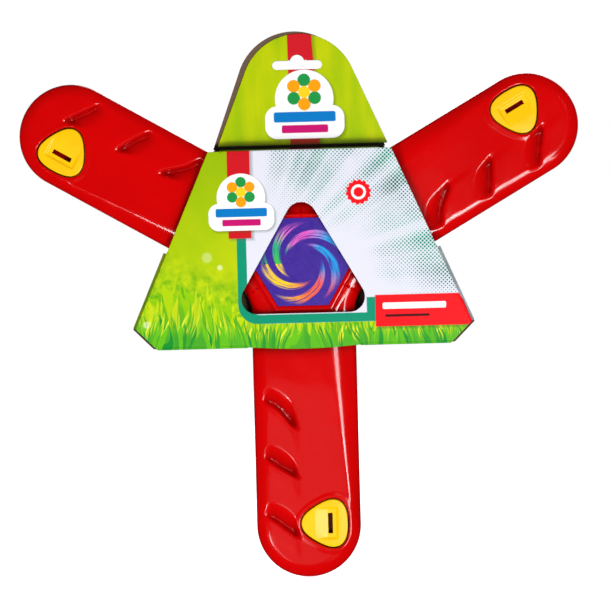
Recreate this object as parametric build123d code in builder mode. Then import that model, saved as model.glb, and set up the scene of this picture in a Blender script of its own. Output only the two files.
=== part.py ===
from build123d import *
import math
import os

os.makedirs("parts", exist_ok=True)

# Millimetres. X is right, Z is up, and -Y is the printed front.
# A level is a distance in front of the card's rear face, so level = -Y.

# ---- driving dimensions: boomerang ----
BLADES = 3
FIRST_BLADE = -90
BLADE_WIDTH = 66.0
TIP_CENTRE = 167.0
CROTCH_RADIUS = 21.0
WALL = 1.7
REAR_LEVEL = 1.7
PART_LINE_LEVEL = 7.2
BLADE_LEVEL = 14.7
FRONT_EDGE_RADIUS = 4.5
REAR_EDGE_RADIUS = 2.2
CAVITY_EDGE_RADIUS = 3.0
LIP_HEIGHT = 1.0
LIP_GAP = 0.08
LIP_WALL = 0.9
UNDERSIDE_INSET = 8.0
UNDERSIDE_DEPTH = 0.5

HUB_APOTHEM = 31.0
HUB_RISE = 2.0
HUB_EDGE_RADIUS = 0.9
LABEL_APOTHEM = 27.7
LABEL_THICKNESS = 0.25
LABEL_RECESS_DEPTH = 0.45
LABEL_GAP = 0.4

CAP_ALONG = 166.0
CAP_ACROSS = 11.5
CAP_REACH = 19.6
CAP_SIDE_BULGE = 2.7
CAP_CORNER_RADIUS = 5.6
CAP_GAP = 0.5
CAP_PLATE = 1.6
CAP_SKIRT = 5.0
CAP_SKIRT_WALL = 1.2
CAP_SINK = 0.6
SLOT_LENGTH = 12.9
SLOT_WIDTH = 2.8
SLOT_ACROSS = 2.1
SLOT_RECESS_DEPTH = 0.6
SLOT_RECESS = (20.0, 8.4)
CHAMBER_WALL = 1.4

GILL_PITCH = 36.5
GILLS_ALONG = [79.2 + GILL_PITCH * i for i in range(3)]
GILL_DEPTH = 1.6
GILL_BACKING = 1.5
BACKING_INSET = 1.3

PEGS_ALONG = (60.0, 138.0)
PEG_ACROSS = 22.0
PEG_RADIUS = 1.6
SOCKET_WALL = 1.2
SOCKET_GAP = 0.1

# ---- driving dimensions: card sleeve ----
BOARD = 1.2
SLEEVE_DEPTH = 19.7
CREASE_GAP = 0.1
PANEL_TOP_Z = 70.6
PANEL_TOP_HALF = 57.9
SHOULDER_Z = -40.4
SHOULDER_HALF = 106.0
CORNER_CUT = 13.0
BOTTOM_BOW = 1.5
BOTTOM_BOW_HALF = 35.0
WINDOW_BOTTOM_Z = -32.4
WINDOW_SIDE = 92.0
WINDOW_CORNER_RADIUS = 9.7
SIDE_WALL_TOP_Z = 7.0
SIDE_FLARE = 3.3
OPENING_HALF = 35.5
TOP_WALL_HALF = 50.5
TOP_WALL_RISE = 2.5
TOP_WALL_REAR_LEVEL = 3.0
BACK_TOP_Z = 73.0

HEADER_BASE_HALF = 54.4
HEADER_LEAN = 22.5
HEADER_ARC_RADIUS = 37.0
HEADER_PEAK_Z = 146.2
HEADER_SLIT = 1.9
FRONT_PLY_SHIFT = (1.0, 0.0)
FRONT_BASE_SHIFT = 2.2
REAR_PLY_SHIFT = (-2.2, 1.6)
HANG_WIDTH = 32.0
HANG_ARM = 5.7
HANG_HUMP = 9.4
HANG_BOTTOM_Z = 123.3
HANG_HUMP_RADIUS = 5.6

# ---- derived values ----
BLADE_ANGLES = [FIRST_BLADE + 360 / BLADES * i for i in range(BLADES)]
BLADE_NAMES = ("lower", "right", "left")
HALF_BLADE = BLADE_WIDTH / 2
HUB_LEVEL = BLADE_LEVEL + HUB_RISE
CAP_LEVEL = BLADE_LEVEL - CAP_SINK
PANEL_INNER_LEVEL = SLEEVE_DEPTH - BOARD
FRONT_PLY_LEVEL = 2 * BOARD + 0.05
SIDE_SLOPE = (SHOULDER_HALF - PANEL_TOP_HALF) / (PANEL_TOP_Z - SHOULDER_Z)
SIDE_ANGLE = math.degrees(math.atan(SIDE_SLOPE))
BOTTOM_Z = SHOULDER_Z - CORNER_CUT
BOTTOM_HALF = SHOULDER_HALF - CORNER_CUT


def front(level):
    """Plane parallel to the printed front: local x is X and local y is Z."""
    return Plane.XZ.offset(level)


def blade_plane(angle, level):
    """Plane on one blade: local x runs along the blade and local y across it."""
    a = math.radians(angle)
    return Plane(origin=(0, -level, 0), x_dir=(math.cos(a), 0, math.sin(a)), z_dir=(0, -1, 0))


def outline(level, inset=0.0):
    """Three round-ended blades joined by concave crotches, drawn inset from the edge."""
    half = HALF_BLADE - inset
    with BuildSketch(front(level)) as sketch:
        with PolarLocations(TIP_CENTRE / 2, BLADES, start_angle=FIRST_BLADE):
            SlotCenterToCenter(TIP_CENTRE, 2 * half)
        crotch = half / math.sin(math.radians(180 / BLADES))
        near = [v for v in sketch.vertices() if abs(math.hypot(v.X, v.Z) - crotch) < 0.1]
        fillet(near, radius=CROTCH_RADIUS + inset)
    return sketch.sketch


def cap_sketch(angle, level, grow=0.0):
    """Rounded triangle with bulging sides, one corner pointing to -X, on one blade."""
    a = math.radians(angle)
    x = CAP_ALONG * math.cos(a) - CAP_ACROSS * math.sin(a)
    z = CAP_ALONG * math.sin(a) + CAP_ACROSS * math.cos(a)
    corners = [Vector(CAP_REACH, 0).rotate(Axis.Z, 180 + 120 * i) for i in range(3)]
    plane = Plane(origin=(x, -level, z), x_dir=(1, 0, 0), z_dir=(0, -1, 0))
    with BuildSketch(plane) as sketch:
        with BuildLine():
            for i in range(3):
                start = corners[i]
                end = corners[(i + 1) % 3]
                middle = (start + end) * 0.5
                ThreePointArc(start, middle + middle.normalized() * CAP_SIDE_BULGE, end)
        make_face()
        fillet(sketch.vertices(), radius=CAP_CORNER_RADIUS)
        if grow:
            offset(amount=grow)
    return sketch.sketch


def slot_sketch(angle, level, size):
    """Rectangle at the whistle slot, lying along the blade."""
    across = CAP_ACROSS + SLOT_ACROSS
    with BuildSketch(blade_plane(angle, level)) as sketch:
        with Locations((CAP_ALONG, across)):
            RectangleRounded(size[0], size[1], min(size) * 0.3)
    return sketch.sketch


def gill_sketch(angle, level):
    """Three comma-shaped finger recesses along a blade's trailing side."""
    with BuildSketch(blade_plane(angle, level)) as sketch:
        for start in GILLS_ALONG:
            with BuildLine():
                foot = (start, -24.5)
                heel = (start + 8.5, -24.5)
                tail = (start + 26.8, -5.6)
                Spline(foot, (start - 1.8, -16.2), (start + 5.7, -8.2), (start + 18.4, -5.2), tail)
                Spline(tail, (start + 23.5, -9.3), (start + 12.8, -16.8), heel)
                Line(heel, foot)
            make_face()
    return sketch.sketch


def gill_backing_sketch(angle, level):
    """Strip along a blade's trailing side that carries the finger recesses."""
    length = GILLS_ALONG[-1] - GILLS_ALONG[0] + GILL_PITCH
    with BuildSketch(blade_plane(angle, level)) as sketch:
        with Locations((GILLS_ALONG[0] + length / 2 - WALL, -HALF_BLADE / 2)):
            Rectangle(length, HALF_BLADE - WALL)
    return sketch.sketch


def pegs_sketch(level, radius):
    """Two register pegs on the leading side of each blade."""
    with BuildSketch(front(level)) as sketch:
        for angle in BLADE_ANGLES:
            for along in PEGS_ALONG:
                a = math.radians(angle)
                x = along * math.cos(a) - PEG_ACROSS * math.sin(a)
                z = along * math.sin(a) + PEG_ACROSS * math.cos(a)
                with Locations((x, z)):
                    Circle(radius)
    return sketch.sketch


def hexagon(level, apothem):
    """Hexagon on the hub with flats at the top and bottom."""
    with BuildSketch(front(level)) as sketch:
        RegularPolygon(apothem, 6, major_radius=False)
    return sketch.sketch


def pocket(sketch, depth):
    """Cut a sketch's shape out of the part being built."""
    extrude(sketch, amount=depth, mode=Mode.SUBTRACT)


def level_edges(part, level):
    """Edges of a part that lie wholly on one level."""
    return part.edges().filter_by_position(Axis.Y, -level - 0.01, -level + 0.01)


# ---- boomerang mouldings ----
front_roof = BLADE_LEVEL - WALL
backing_level = front_roof - GILL_BACKING
with BuildPart(mode=Mode.PRIVATE) as front_cavity:
    extrude(outline(PART_LINE_LEVEL, WALL), amount=front_roof - PART_LINE_LEVEL)
    fillet(level_edges(front_cavity, front_roof), radius=CAVITY_EDGE_RADIUS)

with BuildPart() as upper_shell:
    extrude(outline(PART_LINE_LEVEL), amount=BLADE_LEVEL - PART_LINE_LEVEL)
    fillet(level_edges(upper_shell, BLADE_LEVEL), radius=FRONT_EDGE_RADIUS)
    add(front_cavity.part, mode=Mode.SUBTRACT)
    # raised hub platform with a seat for the label
    extrude(hexagon(front_roof, HUB_APOTHEM), amount=HUB_LEVEL - front_roof)
    fillet(level_edges(upper_shell, HUB_LEVEL), radius=HUB_EDGE_RADIUS)
    pocket(hexagon(HUB_LEVEL - LABEL_RECESS_DEPTH, LABEL_APOTHEM + LABEL_GAP), LABEL_RECESS_DEPTH)
    # finger recesses, pockets with collars for the whistle caps
    within = outline(backing_level, BACKING_INSET)
    for angle in BLADE_ANGLES:
        collar = cap_sketch(angle, backing_level, CAP_GAP + CHAMBER_WALL)
        extrude(gill_backing_sketch(angle, backing_level) & within, amount=GILL_BACKING)
        extrude(collar & within, amount=GILL_BACKING)
        pocket(gill_sketch(angle, BLADE_LEVEL - GILL_DEPTH), GILL_DEPTH)
        pocket(cap_sketch(angle, PART_LINE_LEVEL, CAP_GAP), HUB_LEVEL)
    # sockets for the register pegs
    socket_radius = PEG_RADIUS + SOCKET_GAP
    extrude(pegs_sketch(PART_LINE_LEVEL, socket_radius + SOCKET_WALL), amount=front_roof - PART_LINE_LEVEL)
    pocket(pegs_sketch(PART_LINE_LEVEL, socket_radius), front_roof - PART_LINE_LEVEL - WALL / 2)
upper_shell.part.label = "upper_shell"
export_step(upper_shell.part, "parts/upper_shell.step")

rear_floor = REAR_LEVEL + WALL
chamber_top = CAP_LEVEL - CAP_SKIRT - CREASE_GAP
with BuildPart(mode=Mode.PRIVATE) as rear_cavity:
    extrude(outline(rear_floor, WALL), amount=PART_LINE_LEVEL - LIP_HEIGHT - rear_floor)

with BuildPart() as lower_shell:
    extrude(outline(REAR_LEVEL), amount=PART_LINE_LEVEL - REAR_LEVEL)
    fillet(level_edges(lower_shell, REAR_LEVEL), radius=REAR_EDGE_RADIUS)
    # locating lip that stands inside the front moulding's wall
    extrude(outline(PART_LINE_LEVEL, WALL + LIP_GAP), amount=LIP_HEIGHT)
    pocket(outline(rear_floor, WALL + LIP_GAP + LIP_WALL), HUB_LEVEL)
    add(rear_cavity.part, mode=Mode.SUBTRACT)
    pocket(outline(REAR_LEVEL, UNDERSIDE_INSET), UNDERSIDE_DEPTH)
    # whistle chambers under the caps, and register pegs
    for angle in BLADE_ANGLES:
        extrude(cap_sketch(angle, rear_floor), amount=chamber_top - rear_floor)
        pocket(cap_sketch(angle, rear_floor, -CHAMBER_WALL), chamber_top - rear_floor)
    extrude(pegs_sketch(rear_floor, PEG_RADIUS), amount=front_roof - WALL - rear_floor)
lower_shell.part.label = "lower_shell"
export_step(lower_shell.part, "parts/lower_shell.step")

# ---- whistle caps ----
for angle, side in zip(BLADE_ANGLES, BLADE_NAMES):
    with BuildPart() as cap:
        extrude(cap_sketch(angle, CAP_LEVEL - CAP_SKIRT), amount=CAP_SKIRT)
        fillet(level_edges(cap, CAP_LEVEL), radius=CAP_SINK)
        pocket(cap_sketch(angle, CAP_LEVEL - CAP_SKIRT, -CAP_SKIRT_WALL), CAP_SKIRT - CAP_PLATE)
        pocket(slot_sketch(angle, CAP_LEVEL - SLOT_RECESS_DEPTH, SLOT_RECESS), SLOT_RECESS_DEPTH)
        pocket(slot_sketch(angle, CAP_LEVEL - CAP_PLATE, (SLOT_LENGTH, SLOT_WIDTH)), CAP_PLATE)
    cap.part.label = "whistle_cap_" + side
    export_step(cap.part, "parts/whistle_cap_" + side + ".step")

with BuildPart() as hub_label:
    extrude(hexagon(HUB_LEVEL - LABEL_RECESS_DEPTH, LABEL_APOTHEM), amount=LABEL_THICKNESS)
hub_label.part.label = "hub_label"
export_step(hub_label.part, "parts/hub_label.step")


# ---- card sleeve ----
def panel_outline(level, flare, top_z, top_half, bow):
    """Trapezium with cut lower corners; the bottom edge bows down over the lower blade."""
    shoulder = SHOULDER_HALF + flare
    bottom = BOTTOM_HALF + flare
    with BuildSketch(front(level)) as sketch:
        with BuildLine():
            Polyline(
                (BOTTOM_BOW_HALF, BOTTOM_Z),
                (bottom, BOTTOM_Z),
                (shoulder, SHOULDER_Z),
                (top_half, top_z),
                (-top_half, top_z),
                (-shoulder, SHOULDER_Z),
                (-bottom, BOTTOM_Z),
                (-BOTTOM_BOW_HALF, BOTTOM_Z),
            )
            if bow:
                ThreePointArc((-BOTTOM_BOW_HALF, BOTTOM_Z), (0, BOTTOM_Z - bow), (BOTTOM_BOW_HALF, BOTTOM_Z))
            else:
                Line((-BOTTOM_BOW_HALF, BOTTOM_Z), (BOTTOM_BOW_HALF, BOTTOM_Z))
        make_face()
    return sketch.sketch


def window_sketch(level):
    """Rounded equilateral triangle window, point up."""
    height = WINDOW_SIDE * math.sin(math.radians(60))
    half = WINDOW_SIDE / 2
    with BuildSketch(front(level)) as sketch:
        Polygon(
            (-half, WINDOW_BOTTOM_Z),
            (half, WINDOW_BOTTOM_Z),
            (0, WINDOW_BOTTOM_Z + height),
            align=None,
        )
        fillet(sketch.vertices(), radius=WINDOW_CORNER_RADIUS)
    return sketch.sketch


with BuildPart() as front_panel:
    extrude(panel_outline(PANEL_INNER_LEVEL, 0, PANEL_TOP_Z, PANEL_TOP_HALF, BOTTOM_BOW), amount=BOARD)
    pocket(window_sketch(PANEL_INNER_LEVEL), BOARD)
front_panel.part.label = "front_panel"
export_step(front_panel.part, "parts/front_panel.step")

with BuildPart() as back_panel:
    extrude(panel_outline(0, SIDE_FLARE, BACK_TOP_Z, HEADER_BASE_HALF, 0), amount=BOARD)
back_panel.part.label = "back_panel"
export_step(back_panel.part, "parts/back_panel.step")

# top wall: runs back and up from the front panel to just in front of the header
with BuildPart() as top_wall:
    with BuildSketch(Plane.YZ.offset(-TOP_WALL_HALF)):
        Polygon(
            (-PANEL_INNER_LEVEL + CREASE_GAP, PANEL_TOP_Z),
            (-PANEL_INNER_LEVEL + CREASE_GAP, PANEL_TOP_Z - BOARD),
            (-TOP_WALL_REAR_LEVEL, PANEL_TOP_Z + TOP_WALL_RISE - BOARD),
            (-TOP_WALL_REAR_LEVEL, PANEL_TOP_Z + TOP_WALL_RISE),
            align=None,
        )
    extrude(amount=2 * TOP_WALL_HALF)
top_wall.part.label = "top_wall"
export_step(top_wall.part, "parts/top_wall.step")


def side_wall(sign):
    """Wall along a slanted crease, flaring outwards towards the back."""
    slope = math.radians(SIDE_ANGLE)
    crease_x = PANEL_TOP_HALF + (PANEL_TOP_Z - SIDE_WALL_TOP_Z) * SIDE_SLOPE
    length = (SIDE_WALL_TOP_Z - SHOULDER_Z) / math.cos(slope)
    outward = Vector(sign * math.cos(slope), 0, math.sin(slope))
    down = Vector(sign * math.sin(slope), 0, -math.cos(slope))
    plane = Plane(origin=(sign * crease_x, 0, SIDE_WALL_TOP_Z), x_dir=outward, z_dir=down)
    toward_front = -plane.y_dir.Y
    near = (PANEL_INNER_LEVEL - CREASE_GAP) * toward_front
    far = (BOARD + CREASE_GAP) * toward_front
    with BuildPart() as wall:
        with BuildSketch(plane):
            Polygon((0, near), (-BOARD, near), (SIDE_FLARE - BOARD, far), (SIDE_FLARE, far), align=None)
        extrude(amount=length)
    return wall.part


def bottom_wall(sign):
    """Flat strip between the lower blade's opening and a cut corner."""
    with BuildPart() as wall:
        with BuildSketch(Plane.XY.offset(BOTTOM_Z + CREASE_GAP)):
            depth = PANEL_INNER_LEVEL - BOARD - 2 * CREASE_GAP
            width = BOTTOM_HALF - OPENING_HALF
            x = sign * (OPENING_HALF + width / 2)
            y = -(BOARD + CREASE_GAP + depth / 2)
            with Locations((x, y)):
                Rectangle(width, depth)
        extrude(amount=BOARD)
    return wall.part


for sign, side in ((-1, "left"), (1, "right")):
    wall = side_wall(sign)
    wall.label = "side_wall_" + side
    export_step(wall, "parts/side_wall_" + side + ".step")
    strip = bottom_wall(sign)
    strip.label = "bottom_wall_" + side
    export_step(strip, "parts/bottom_wall_" + side + ".step")


# ---- header ----
def header_sketch(level, shift, base_shift, base_z):
    """Sides that lean in to one top arc; shift moves the arc and base_shift moves the base."""
    lean = math.radians(HEADER_LEAN)
    arc_z = HEADER_PEAK_Z - HEADER_ARC_RADIUS
    tangent_x = HEADER_ARC_RADIUS * math.cos(lean)
    tangent_z = arc_z + HEADER_ARC_RADIUS * math.sin(lean)
    base_half = tangent_x + (tangent_z - base_z) * math.tan(lean)
    dx, dz = shift
    with BuildSketch(front(level)) as sketch:
        with BuildLine():
            Polyline(
                (tangent_x + dx, tangent_z + dz),
                (base_shift + base_half, base_z),
                (base_shift - base_half, base_z),
                (-tangent_x + dx, tangent_z + dz),
            )
            ThreePointArc((-tangent_x + dx, tangent_z + dz), (dx, HEADER_PEAK_Z + dz),
                          (tangent_x + dx, tangent_z + dz))
        make_face()
    return sketch.sketch


def hang_slot_sketch(level):
    """Hang slot: a round-ended bar with a hump over its middle."""
    bar_z = HANG_BOTTOM_Z + HANG_ARM / 2
    hump_z = HANG_BOTTOM_Z + HANG_HUMP - HANG_HUMP_RADIUS
    with BuildSketch(front(level)) as sketch:
        with Locations((0, bar_z)):
            SlotOverall(HANG_WIDTH, HANG_ARM)
        with Locations((0, hump_z)):
            Circle(HANG_HUMP_RADIUS)
        with Locations((0, HANG_BOTTOM_Z - HANG_HUMP / 2)):
            Rectangle(HANG_WIDTH, HANG_HUMP, mode=Mode.SUBTRACT)
    return sketch.sketch


header_base = BACK_TOP_Z + CREASE_GAP
front_ply_base = PANEL_TOP_Z + TOP_WALL_RISE + HEADER_SLIT
front_ply_rear = FRONT_PLY_LEVEL - BOARD
with BuildPart() as header_rear_ply:
    extrude(header_sketch(0, REAR_PLY_SHIFT, 0, header_base), amount=BOARD)
    pocket(hang_slot_sketch(0), BOARD)
header_rear_ply.part.label = "header_rear_ply"
export_step(header_rear_ply.part, "parts/header_rear_ply.step")

with BuildPart() as header_front_ply:
    extrude(header_sketch(front_ply_rear, FRONT_PLY_SHIFT, FRONT_BASE_SHIFT, front_ply_base), amount=BOARD)
    pocket(hang_slot_sketch(front_ply_rear), BOARD)
header_front_ply.part.label = "header_front_ply"
export_step(header_front_ply.part, "parts/header_front_ply.step")
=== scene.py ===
"""Looks for the three-bladed boomerang in its hang sleeve: mouldings, creased card, printed artwork."""
import itertools
import math

import bmesh
import bpy
import numpy as np
from mathutils import Matrix, Vector
from mathutils.geometry import delaunay_2d_cdt


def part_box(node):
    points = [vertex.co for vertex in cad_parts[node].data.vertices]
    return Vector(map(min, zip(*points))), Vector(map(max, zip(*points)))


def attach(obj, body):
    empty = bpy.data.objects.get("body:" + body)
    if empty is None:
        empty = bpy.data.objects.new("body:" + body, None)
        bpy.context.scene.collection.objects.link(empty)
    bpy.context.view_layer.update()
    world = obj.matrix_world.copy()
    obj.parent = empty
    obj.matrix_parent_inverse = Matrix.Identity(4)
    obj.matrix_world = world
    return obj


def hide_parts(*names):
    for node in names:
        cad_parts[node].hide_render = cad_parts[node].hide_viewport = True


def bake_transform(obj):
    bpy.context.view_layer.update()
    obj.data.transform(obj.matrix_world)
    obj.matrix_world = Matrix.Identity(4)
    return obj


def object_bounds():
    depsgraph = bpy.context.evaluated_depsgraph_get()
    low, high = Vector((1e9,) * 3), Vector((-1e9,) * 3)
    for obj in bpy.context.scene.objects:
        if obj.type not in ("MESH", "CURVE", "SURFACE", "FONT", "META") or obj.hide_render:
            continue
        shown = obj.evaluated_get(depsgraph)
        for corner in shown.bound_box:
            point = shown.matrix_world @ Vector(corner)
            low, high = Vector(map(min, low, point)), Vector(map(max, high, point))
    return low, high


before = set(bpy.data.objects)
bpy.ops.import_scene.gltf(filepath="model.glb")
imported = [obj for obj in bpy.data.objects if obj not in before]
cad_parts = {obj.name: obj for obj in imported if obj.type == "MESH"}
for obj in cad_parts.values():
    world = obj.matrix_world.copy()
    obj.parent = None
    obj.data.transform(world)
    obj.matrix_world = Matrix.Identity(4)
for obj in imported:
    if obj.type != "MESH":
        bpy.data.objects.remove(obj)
cad_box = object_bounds()

# Millimetres throughout; positions are (x, level, z), where level is the distance in front of
# the sleeve's rear face, so level = -Y in the row frame.
MM = 0.001


def levels(node):
    """Rear and front level of a CAD node."""
    low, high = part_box(node)
    return -high.y / MM, -low.y / MM


def spans(node):
    """Lowest x, highest x, lowest z and highest z of a CAD node."""
    low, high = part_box(node)
    return low.x / MM, high.x / MM, low.z / MM, high.z / MM


# ---- sizes from the frame ----
PART_LINE, HUB_TOP = levels("upper_shell")
TOP = HUB_TOP - 2.0
CAP_REAR, CAP_TOP = levels("whistle_cap_lower")
PANEL_REAR, PANEL_FRONT = levels("front_panel")
BOARD = PANEL_FRONT - PANEL_REAR
TIP_REACH = -spans("upper_shell")[2]
TIP = 167.0
HALF = TIP_REACH - TIP
COS60 = math.cos(math.radians(60))
SIN60 = math.sin(math.radians(60))
# the blade's tip is an arc of radius HALF round (TIP, 0); the crotch beside it is an arc of
# radius CROTCH round (CX, CY), with a mirror image
CROTCH = 21.0
CROTCH_FAR = (HALF + CROTCH) / SIN60
CX = CROTCH_FAR * COS60
CY = CROTCH_FAR * SIN60
BLADE_ANGLES = (-90.0, 30.0, 150.0)

CAP_CENTRE = (166.0, 11.5)
CAP_R = (14.55, 1.55, 0.12)
POCKET_GAP = 0.7
POCKET_RIM = 0.9
HUB_APOTHEM = 31.0
HUB_FOOT = 33.6
LABEL_SEAT = 28.1
LABEL_SINK = 0.45
EDGE_ROUND = 2.4
GILL_STARTS = (79.2, 115.7, 152.2)
GILL_TAILS = (26.8, 21.5, 23.0)
GILL_DEPTHS = (3.6, 3.6, 3.3)
GILL_OUTER = -28.5
GILL_INNER = -4.5
GRID_PITCH = 1.15


# ---- small geometry helpers ----
def smooth(t):
    t = np.clip(t, 0.0, 1.0)
    return t * t * (3 - 2 * t)


def rounding(d, r):
    """How far a rounded edge of radius r drops at distance d from the edge."""
    u = np.clip(r - d, 0.0, r)
    return r - np.sqrt(r * r - u * u)


def soft_min(a, b, k):
    h = np.clip(0.5 + 0.5 * (b - a) / k, 0, 1)
    return b * (1 - h) + a * h - k * h * (1 - h)


def unit(v):
    return v / np.maximum(np.hypot(*v.T), 1e-9)[:, None]


def left_of(v):
    """Directions turned a quarter turn anticlockwise."""
    return np.stack([-v[:, 1], v[:, 0]], 1)


def wave(x, z, size, seed):
    """Gentle waviness from a few crossed sines, between about -1 and 1."""
    rng = np.random.default_rng(seed)
    total = 0.0
    for _ in range(5):
        turn = rng.uniform(0, math.tau)
        k = math.tau / (size * rng.uniform(0.7, 1.6))
        total = total + np.sin(k * (x * math.cos(turn) + z * math.sin(turn)) + rng.uniform(0, math.tau))
    return total / 3.0


def to_world(a, p, angle):
    """Blade coordinates (along, across) to x and z."""
    c = math.cos(math.radians(angle))
    s = math.sin(math.radians(angle))
    return a * c - p * s, a * s + p * c


def add_object(name, data):
    obj = bpy.data.objects.new(name, data)
    bpy.context.scene.collection.objects.link(obj)
    return obj


def make_mesh(name, points, faces, materials):
    """A mesh object from (x, level, z) millimetre points."""
    mesh = bpy.data.meshes.new(name)
    co = np.asarray(points, float)
    co = np.stack([co[:, 0], -co[:, 1], co[:, 2]], 1) * MM
    mesh.from_pydata(co.tolist(), [], [list(map(int, f)) for f in faces])
    mesh.update()
    mesh.polygons.foreach_set("use_smooth", [True] * len(mesh.polygons))
    for m in materials:
        mesh.materials.append(m)
    return add_object(name, mesh)


def grid_faces(rows, columns, flip):
    """Quads between the rows of a grid of points that is listed row by row."""
    faces = []
    for i in range(rows - 1):
        for j in range(columns - 1):
            k = i * columns + j
            quad = (k, k + columns, k + columns + 1, k + 1)
            faces.append(quad[::-1] if flip else quad)
    return faces


def triangulate(loops, lines, free, keep):
    """Constrained triangulation. loops and lines are point arrays; keep(x, y) says which faces stay.
    Returns the points, the faces and each loop's vertex numbers."""
    points = []
    edges = []
    numbers = []
    for pts, closed in [(q, True) for q in loops] + [(q, False) for q in lines]:
        ids = list(range(len(points), len(points) + len(pts)))
        numbers.append(ids)
        points += map(tuple, pts)
        edges += zip(ids, ids[1:])
        if closed:
            edges.append((ids[-1], ids[0]))
    points += map(tuple, free)
    out = delaunay_2d_cdt([Vector(q) for q in points], edges, [], 0, 1e-5, True)
    verts = np.array([tuple(v) for v in out[0]])
    faces = np.array(out[2])
    middle = verts[faces].mean(1)
    faces = faces[keep(middle[:, 0], middle[:, 1])]
    a, b, c = (verts[faces[:, i]] for i in range(3))
    area = (b[:, 0] - a[:, 0]) * (c[:, 1] - a[:, 1]) - (b[:, 1] - a[:, 1]) * (c[:, 0] - a[:, 0])
    flip = area < 0
    faces[flip] = faces[flip][:, ::-1]
    faces = faces[np.abs(area) > 1e-7]
    found = {j: i for i, ids in enumerate(out[3]) for j in ids}
    return verts, faces, [[found[j] for j in ids] for ids in numbers]


ROW_SPACING = 0.866


def hex_grid(low, high, pitch):
    """Staggered grid points over a rectangle."""
    rows = np.arange(low[1], high[1], pitch * ROW_SPACING)
    out = []
    for i, y in enumerate(rows):
        x = np.arange(low[0] + (i % 2) * pitch / 2, high[0], pitch)
        out.append(np.stack([x, np.full_like(x, y)], 1))
    return np.concatenate(out)


def skirt(points, faces, loop, new_levels, insets, closed, outward):
    """Adds a wall down from a boundary loop. insets moves each row sideways."""
    points = list(map(tuple, points))
    faces = list(map(tuple, faces))
    ring = list(loop)
    n = len(ring)
    side = np.array([points[i] for i in ring])[:, [0, 2]]
    ahead = np.roll(side, -1, 0)
    behind = np.roll(side, 1, 0)
    if not closed:
        ahead[-1] = side[-1]
        behind[0] = side[0]
    inward = left_of(unit(ahead - behind))
    for level, inset in zip(new_levels, insets):
        row = list(range(len(points), len(points) + n))
        points += [(x, level, z) for x, z in side + inward * inset]
        for i in range(n if closed else n - 1):
            j = (i + 1) % n
            quad = (ring[i], row[i], row[j], ring[j])
            faces.append(quad if outward else quad[::-1])
        ring = row
    return points, faces


# ---- boomerang surface ----
def inset_of(a, p):
    """Distance inside the blade's outline."""
    q = np.abs(p)
    tip = HALF - np.hypot(a - TIP, p)
    crotch = np.hypot(a - CX, q - CY) - CROTCH
    return np.where(a > TIP, tip, np.where(a < CX, crotch, HALF - q))


def outline_ring(k):
    """One third of the outline, k inside the edge, between two crotch middles."""
    r = CROTCH + k
    half = HALF - k
    turn = np.radians(np.linspace(120, 90, 13))
    low = np.stack([CX + r * np.cos(turn), -CY + r * np.sin(turn)], 1)
    run = np.stack([np.linspace(CX, TIP, 90)[1:-1], np.full(88, -half)], 1)
    turn = np.radians(np.linspace(-90, 90, 80))
    cap = np.stack([TIP + half * np.cos(turn), half * np.sin(turn)], 1)
    mirror = np.array([1, -1])
    return np.concatenate([low, run, cap, (run * mirror)[::-1], (low * mirror)[::-1]])


def cap_radius(turn):
    r0, r1, r2 = CAP_R
    u = turn - math.radians(30)
    return r0 + r1 * np.cos(3 * u) + r2 * np.cos(6 * u)


def cap_distance(a, p):
    """Distance outside the whistle cap's outline."""
    x = a - CAP_CENTRE[0]
    y = p - CAP_CENTRE[1]
    turn = np.arctan2(y, x)
    u = turn - math.radians(30)
    _, r1, r2 = CAP_R
    slope = (-3 * r1 * np.sin(3 * u) - 6 * r2 * np.sin(6 * u)) / cap_radius(turn)
    return (np.hypot(x, y) - cap_radius(turn)) / np.sqrt(1 + slope**2)


def cap_ring(grow, count=96):
    """The cap's outline pushed out along its normals."""
    turn = np.linspace(0, math.tau, count, endpoint=False)
    r = cap_radius(turn)
    pts = np.stack([r * np.cos(turn), r * np.sin(turn)], 1)
    return pts - left_of(unit(np.roll(pts, -1, 0) - np.roll(pts, 1, 0))) * grow


def hub_distance(a, p):
    """Distance from the hub's axis, measured square to the nearest hexagon side."""
    return np.maximum(a, np.maximum(a * COS60 + p * SIN60, a * COS60 - p * SIN60))


def hub_line(apothem):
    """One third of a hexagon, between the middles of two sides."""
    half_side = apothem / math.cos(math.radians(30)) / 2
    stops = [(apothem * COS60, -apothem * SIN60), (apothem, -half_side), (apothem, half_side)]
    stops.append((apothem * COS60, apothem * SIN60))
    out = []
    for a, b in zip(stops, stops[1:]):
        out += line(a, b, 1.1)[:-1]
    return np.array(out + [stops[-1]])


def through(stops, count=60):
    """A smooth curve through (along, across) stops, as across and along arrays."""
    q = np.array([stops[0]] + list(stops) + [stops[-1]], float)
    out = []
    for k in range(1, len(q) - 2):
        t = np.linspace(0, 1, count // (len(q) - 3), endpoint=False)[:, None]
        p0, p1, p2, p3 = q[k - 1 : k + 3]
        mid = (2 * p0 - 5 * p1 + 4 * p2 - p3) * t * t + (3 * p1 - p0 - 3 * p2 + p3) * t**3
        out.append(0.5 * (2 * p1 + (p2 - p0) * t + mid))
    out = np.concatenate(out + [q[-1:]])
    return out[:, 1], out[:, 0]


def gill_lines(start, tail):
    """The soft rim and the crisp valley of one finger recess; they meet at the inner tip."""
    rim = ((3, GILL_OUTER), (-1, -24), (0, -17), (7, -9.5), (tail - 1.5, GILL_INNER))
    valley = ((7.5, GILL_OUTER), (8.7, -24), (13.5, -17), (tail * 0.84, -9.5), (tail, GILL_INNER))
    return [through([(start + a, p) for a, p in stops]) for stops in (rim, valley)]


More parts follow.
